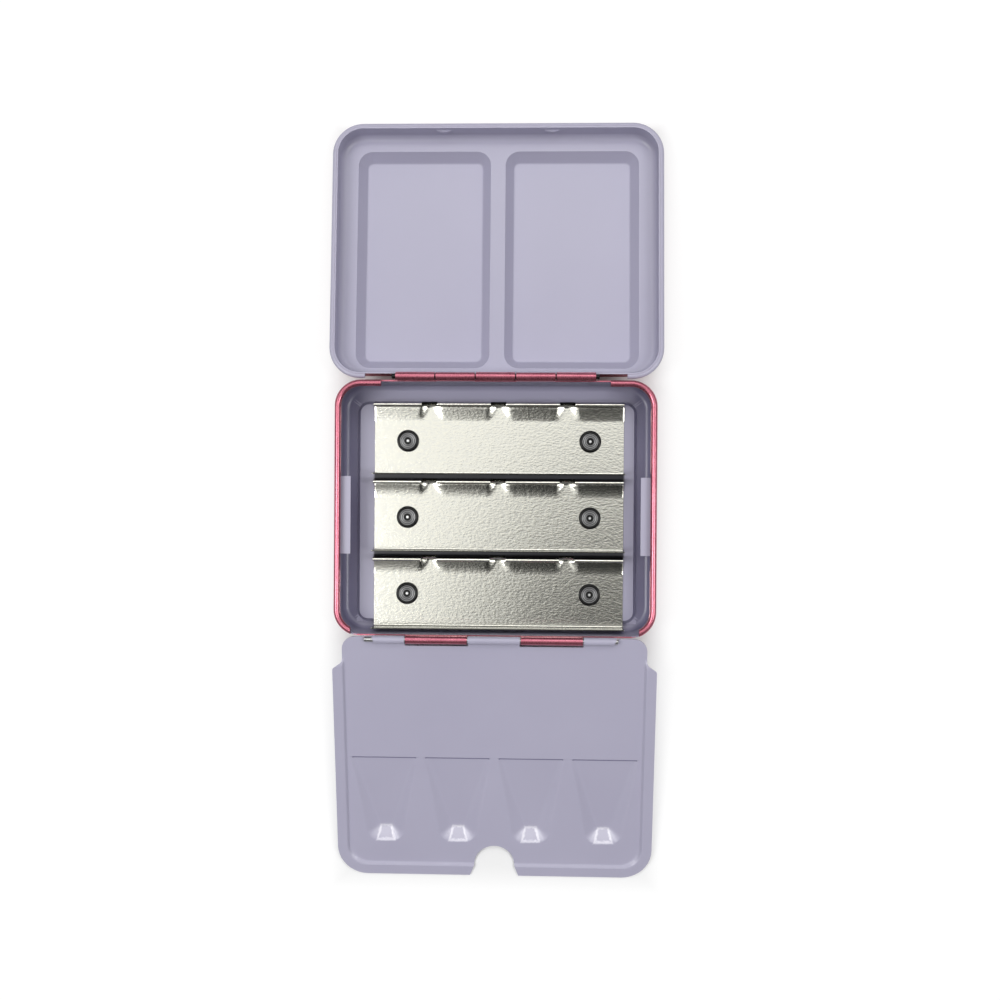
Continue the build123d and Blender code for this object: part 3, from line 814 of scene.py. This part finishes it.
flap_shape = trimmed(scratch_object(flap_sheet(), "flap_blank"), [(punch, "INTERSECT")])
bmesh.ops.remove_doubles(flap_shape, verts=flap_shape.verts, dist=0.002)

# Its three rolled knuckles: where each starts and ends, and how far each end slants
KNUCKLES = ((-31.6, -SLOT_FAR, -0.9, 0), (-SLOT_NEAR, SLOT_NEAR, 0, 0), (SLOT_FAR, 31.6, 0, 0.9))
KNUCKLE_MIDDLE = 0.875


def rolled_knuckle(start, end, start_slant, end_slant):
    """A full curl of the sheet round the wire."""
    curl = bmesh.new()
    first = curl.verts.new((start, 0, -KNUCKLE_MIDDLE))
    bmesh.ops.spin(
        curl, geom=[first], cent=(start, 0, 0), axis=(1, 0, 0), angle=radians(345), steps=30
    )
    drawn = bmesh.ops.extrude_edge_only(curl, edges=curl.edges[:])["geom"]
    moved = [part for part in drawn if isinstance(part, bmesh.types.BMVert)]
    bmesh.ops.translate(curl, verts=moved, vec=(end - start, 0, 0))
    for vert in curl.verts:
        share = (KNUCKLE_MIDDLE - vert.co.y) / (2 * KNUCKLE_MIDDLE)
        slant = start_slant if vert.co.x < (start + end) / 2 else end_slant
        vert.co.x -= slant * share
    bmesh.ops.recalc_face_normals(curl, faces=curl.faces)
    rolled = scratch_object(curl, "curl")
    wall = rolled.modifiers.new("sheet", "SOLIDIFY")
    wall.thickness = FLAP_SHEET
    wall.offset = 0
    return trimmed(rolled, [])


for span in KNUCKLES:
    part = rolled_knuckle(*span)
    part_mesh = bpy.data.meshes.new("curl")
    part.to_mesh(part_mesh)
    part.free()
    flap_shape.from_mesh(part_mesh)
    bpy.data.meshes.remove(part_mesh)

bmesh.ops.transform(flap_shape, matrix=FLAP_PLACE, verts=flap_shape.verts)
flap = add_piece(
    flap_shape, "flap_pressing", "flap", "lavender_lacquer", ["mixing_flap"], FLAP_LAVENDER
)
smooth(flap, 50)


# Rivets and hinge wires

RING_RADIUS, RING_LOW = 2.1, 2.4
TIP_RADIUS, TIP_LOW = 0.36, 2.79

for row, line in RAIL_LINES.items():
    for side, x in RIVET_X.items():
        name = row + "_" + side
        # The disc of each black rivet takes a painted reflection in grey.
        sleeve = welded("rivet_" + name, "rivet_sleeve_" + name, "rivet_black", BLACK, RIVET_REFLECTION)
        paint(
            sleeve, 1,
            lambda centre, normal: hypot(centre.x - x, centre.y - line) < RING_RADIUS
            and centre.z > RING_LOW,
        )
        # Each mandrel is black but for its bright steel tip: painted shade in the rivet's hole.
        stem = welded("rivet_stem_" + name, "rivet_tip_" + name, "stem_steel", BLACK, STEM)
        paint(
            stem, 1,
            lambda centre, normal: hypot(centre.x - x, centre.y - line) < TIP_RADIUS
            and centre.z > TIP_LOW,
        )
# The lid's steel wire is black: painted shade for the dark gap at the back hinge.
welded("lid_hinge_pin", "lid_wire", "hinge_wire", BLACK)
welded("flap_hinge_pin", "flap_wire", "hinge_wire", WIRE)


# Table and surroundings

SHADED_HALF_WIDTH, SHADED_HALF_LENGTH = 0.036, 0.095


def table_paper():
    """White paper that glows for the camera, less for glossy things, and not under the box."""
    paper = bpy.data.materials.new("table_paper")
    web = Tree(paper)
    at = web.node("ShaderNodeTexCoord", {}, {}, "Object")
    past_side = abs(web.axis(at, "X")) - SHADED_HALF_WIDTH
    past_end = abs(web.axis(at, "Y")) - SHADED_HALF_LENGTH
    clear = web.fade(web.larger(past_side, past_end), 0.0, 0.012)
    from_camera, from_gloss, from_glass = [
        web.node("ShaderNodeLightPath", {}, {}, kind)
        for kind in ("Is Camera Ray", "Is Glossy Ray", "Is Transmission Ray")
    ]
    direct = web.larger(web.larger(from_camera, 0.3 * from_gloss), from_glass)
    share = 0.75 * clear * direct
    shader = web.tree.nodes["Principled BSDF"]
    web.set(shader, {"Base Color": rgb(0.90, 0.90, 0.90), "Roughness": 0.9})
    glow = web.node("ShaderNodeEmission", {}, {"Color": rgb(1, 1, 1), "Strength": 1.1})
    plain = Socket(web, shader.outputs[0])
    seen = web.node("ShaderNodeMixShader", {}, {0: share, 1: plain, 2: glow})
    web.tree.links.new(seen.out, web.tree.nodes["Material Output"].inputs["Surface"])
    return paper


sheet = bmesh.new()
bmesh.ops.create_grid(sheet, x_segments=1, y_segments=1, size=3.0)
table_mesh = bpy.data.meshes.new("table")
sheet.to_mesh(table_mesh)
sheet.free()
table = bpy.data.objects.new("table", table_mesh)
bpy.context.scene.collection.objects.link(table)
table_mesh.materials.append(table_paper())

# Surroundings that are white to the camera. To all else they are bright overhead and dark at
# the horizon and in front, with one dark patch overhead that the tin rails mirror.
world = bpy.data.worlds.new("studio")
bpy.context.scene.world = world
sky = Tree(world)
towards = sky.node("ShaderNodeTexCoord", {}, {}, "Generated")
across = sky.axis(towards, "X")
ahead = sky.axis(towards, "Y")
from_patch = ((across - 0.08) / 0.15) ** 2 + ((ahead + 0.30) / 0.30) ** 2
patch = sky.fade(from_patch, 0.40, 1.95, 0.05, 1.0)
front = sky.fade(ahead, -0.42, -0.12, 0.22, 1.0)
level = sky.fade(sky.axis(towards, "Z"), 0.20, 0.92, 0.14, 0.96) * patch * front
from_camera = sky.node("ShaderNodeLightPath", {}, {}, "Is Camera Ray")
background = world.node_tree.nodes["Background"]
sky.set(background, {"Color": rgb(1, 1, 1), "Strength": from_camera + (1 - from_camera) * level})
